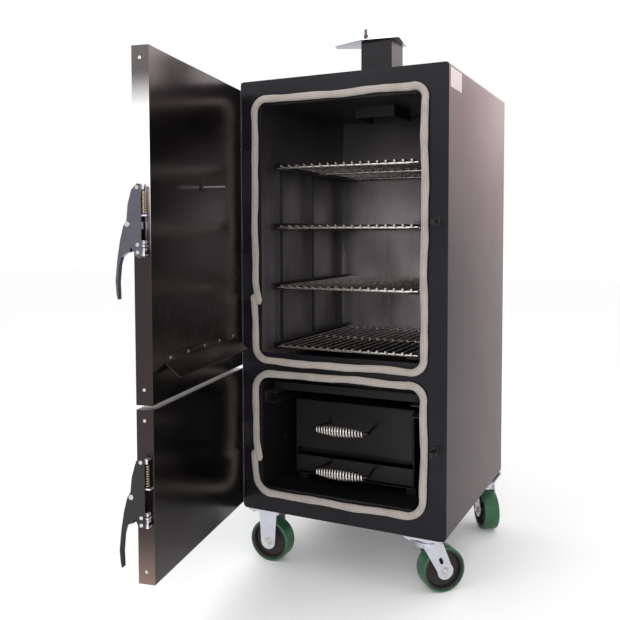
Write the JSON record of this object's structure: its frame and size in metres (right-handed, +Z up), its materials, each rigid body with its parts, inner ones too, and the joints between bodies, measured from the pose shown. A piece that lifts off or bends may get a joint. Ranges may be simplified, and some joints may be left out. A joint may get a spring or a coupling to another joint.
{
  "type": "cabinet smoker",
  "caption": "Free-standing insulated cabinet smoker on casters with two hinged doors, trigger latches, wire racks, drip pan, drawer firebox and a square stack.",
  "frame": {"origin": "on the floor, below the middle of the box round the smoker with its doors open as stored", "axes": "+Z up, -Y out of the front, +X to the right as seen from the front"},
  "size_m": [0.685, 1.3006, 1.6525],
  "materials": {
    "shell_paint": "satin black heat-proof paint",
    "frame_paint": "satin black heat-proof paint",
    "liner_steel": "smoke-darkened steel",
    "insulation_wool": "mineral wool slab",
    "gasket_rope": "knitted fibreglass rope",
    "door_steel": "brushed stainless",
    "door_liner_steel": "dark brushed steel",
    "latch_steel": "dark chrome plate",
    "bright_fasteners": "bright zinc",
    "nickel_wire": "nickel plated wire",
    "zinc_plate": "zinc plated pressed steel",
    "green_tread": "green polyurethane",
    "wheel_iron": "black cast iron",
    "black_steel": "black oxide steel",
    "cap_steel": "pale stainless",
    "needle_red": "red enamel"
  },
  "bodies": {
    "cabinet": {"outer_shell": "shell_paint", "back_panel": "shell_paint", "front_frame": "frame_paint", "chamber_liner": "liner_steel", "insulation": "insulation_wool", "door_gaskets": "gasket_rope", "stack": "frame_paint", "flue_collar": "frame_paint", "damper_bolts": "bright_fasteners", "shelf_rails": "liner_steel", "firebox": "liner_steel", "latch_strikes": "black_steel", "cabinet_hinge_leaves": "frame_paint", "hinge_pins": "bright_fasteners", "rigid_forks": "zinc_plate", "rigid_axles": "bright_fasteners", "swivel_plates": "zinc_plate", "caster_bolts": "bright_fasteners"},
    "upper_door": {"upper_door_skin": "door_steel", "upper_door_liner": "door_liner_steel", "upper_door_core": "insulation_wool", "upper_hinge_leaves": "black_steel", "upper_latch_body": "latch_steel", "upper_door_fasteners": "bright_fasteners", "drip_deflector": "door_steel", "thermometer": "door_steel"},
    "upper_handle": {"upper_latch_handle": "latch_steel"},
    "needle": {"thermometer_needle": "needle_red"},
    "lower_door": {"lower_door_skin": "door_steel", "lower_door_liner": "door_liner_steel", "lower_door_core": "insulation_wool", "lower_hinge_leaves": "black_steel", "lower_latch_body": "latch_steel", "lower_door_fasteners": "bright_fasteners"},
    "lower_handle": {"lower_latch_handle": "latch_steel"},
    "front_swivel": {"front_swivel_fork": "zinc_plate", "front_swivel_axle": "bright_fasteners"},
    "rear_swivel": {"rear_swivel_fork": "zinc_plate", "rear_swivel_axle": "bright_fasteners"},
    "wheel_front_left": {"wheel_core_front_left": "wheel_iron", "wheel_tread_front_left": "green_tread"},
    "wheel_rear_left": {"wheel_core_rear_left": "wheel_iron", "wheel_tread_rear_left": "green_tread"},
    "wheel_front_right": {"wheel_core_front_right": "wheel_iron", "wheel_tread_front_right": "green_tread"},
    "wheel_rear_right": {"wheel_core_rear_right": "wheel_iron", "wheel_tread_rear_right": "green_tread"},
    "rack_1": {"rack_1": "nickel_wire"},
    "rack_2": {"rack_2": "nickel_wire"},
    "rack_3": {"rack_3": "nickel_wire"},
    "rack_4": {"rack_4": "nickel_wire"},
    "drip_pan": {"drip_pan": "liner_steel"},
    "fuel_drawer": {"fuel_drawer": "liner_steel", "fuel_drawer_handle": "black_steel", "fuel_drawer_grip": "nickel_wire"},
    "ash_drawer": {"ash_drawer": "liner_steel", "ash_drawer_handle": "black_steel", "ash_drawer_grip": "nickel_wire"},
    "damper_cap": {"damper_cap": "cap_steel"},
    "air_damper": {"air_damper": "cap_steel"}
  },
  "joints": [
    {"name": "upper_door_hinge", "type": "hinge", "parent": "cabinet", "child": "upper_door", "pos_m": [-0.3055, -0.04353, 1.014], "axis": [0, 0, -1], "range_deg": [-79.5, 80.5]},
    {"name": "lower_door_hinge", "type": "hinge", "parent": "cabinet", "child": "lower_door", "pos_m": [-0.3055, -0.04353, 0.394], "axis": [0, 0, -1], "range_deg": [-79.5, 80.5]},
    {"name": "upper_latch_pivot", "type": "hinge", "parent": "upper_door", "child": "upper_handle", "pos_m": [-0.23789, -0.63329, 1.023], "axis": [-0.1822, 0.9833, 0], "range_deg": [0, 30]},
    {"name": "lower_latch_pivot", "type": "hinge", "parent": "lower_door", "child": "lower_handle", "pos_m": [-0.23789, -0.63329, 0.406], "axis": [-0.1822, 0.9833, 0], "range_deg": [0, 30]},
    {"name": "needle_pivot", "type": "hinge", "parent": "upper_door", "child": "needle", "pos_m": [-0.29912, -0.34136, 1.122], "axis": [-0.9833, -0.1822, 0], "range_deg": [-240, 0]},
    {"name": "rack_1_slide", "type": "slide", "parent": "cabinet", "child": "rack_1", "axis": [0, -1, 0], "range_m": [0, 0.3]},
    {"name": "rack_2_slide", "type": "slide", "parent": "cabinet", "child": "rack_2", "axis": [0, -1, 0], "range_m": [0, 0.3]},
    {"name": "rack_3_slide", "type": "slide", "parent": "cabinet", "child": "rack_3", "axis": [0, -1, 0], "range_m": [0, 0.3]},
    {"name": "rack_4_slide", "type": "slide", "parent": "cabinet", "child": "rack_4", "axis": [0, -1, 0], "range_m": [0, 0.3]},
    {"name": "drip_pan_slide", "type": "slide", "parent": "cabinet", "child": "drip_pan", "axis": [0, -1, 0], "range_m": [0, 0.35]},
    {"name": "fuel_drawer_slide", "type": "slide", "parent": "cabinet", "child": "fuel_drawer", "axis": [0, -1, 0], "range_m": [0, 0.38]},
    {"name": "ash_drawer_slide", "type": "slide", "parent": "cabinet", "child": "ash_drawer", "axis": [0, -1, 0], "range_m": [0, 0.38]},
    {"name": "damper_cap_pivot", "type": "hinge", "parent": "cabinet", "child": "damper_cap", "pos_m": [-0.04, 0.27697, 1.606], "axis": [0, 0, 1], "range_deg": [-8, 100]},
    {"name": "air_damper_pivot", "type": "hinge", "parent": "cabinet", "child": "air_damper", "pos_m": [-0.3195, 0.11147, 0.394], "axis": [-1, 0, 0], "range_deg": [0, 60]},
    {"name": "front_swivel_turn", "type": "hinge", "parent": "cabinet", "child": "front_swivel", "pos_m": [0.2505, 0.02947, 0.142], "axis": [0, 0, 1], "continuous": true},
    {"name": "rear_swivel_turn", "type": "hinge", "parent": "cabinet", "child": "rear_swivel", "pos_m": [0.2685, 0.59447, 0.142], "axis": [0, 0, 1], "continuous": true},
    {"name": "wheel_front_left_spin", "type": "hinge", "parent": "cabinet", "child": "wheel_front_left", "pos_m": [-0.2475, 0.03147, 0.0635], "axis": [0, 1, 0], "continuous": true},
    {"name": "wheel_rear_left_spin", "type": "hinge", "parent": "cabinet", "child": "wheel_rear_left", "pos_m": [-0.2475, 0.59447, 0.0635], "axis": [0, 1, 0], "continuous": true},
    {"name": "wheel_front_right_spin", "type": "hinge", "parent": "front_swivel", "child": "wheel_front_right", "pos_m": [0.27829, 0.05538, 0.0635], "axis": [-0.682, 0.7314, 0], "continuous": true},
    {"name": "wheel_rear_right_spin", "type": "hinge", "parent": "rear_swivel", "child": "wheel_rear_right", "pos_m": [0.28864, 0.56224, 0.0635], "axis": [0.848, 0.5299, 0], "continuous": true}
  ]
}
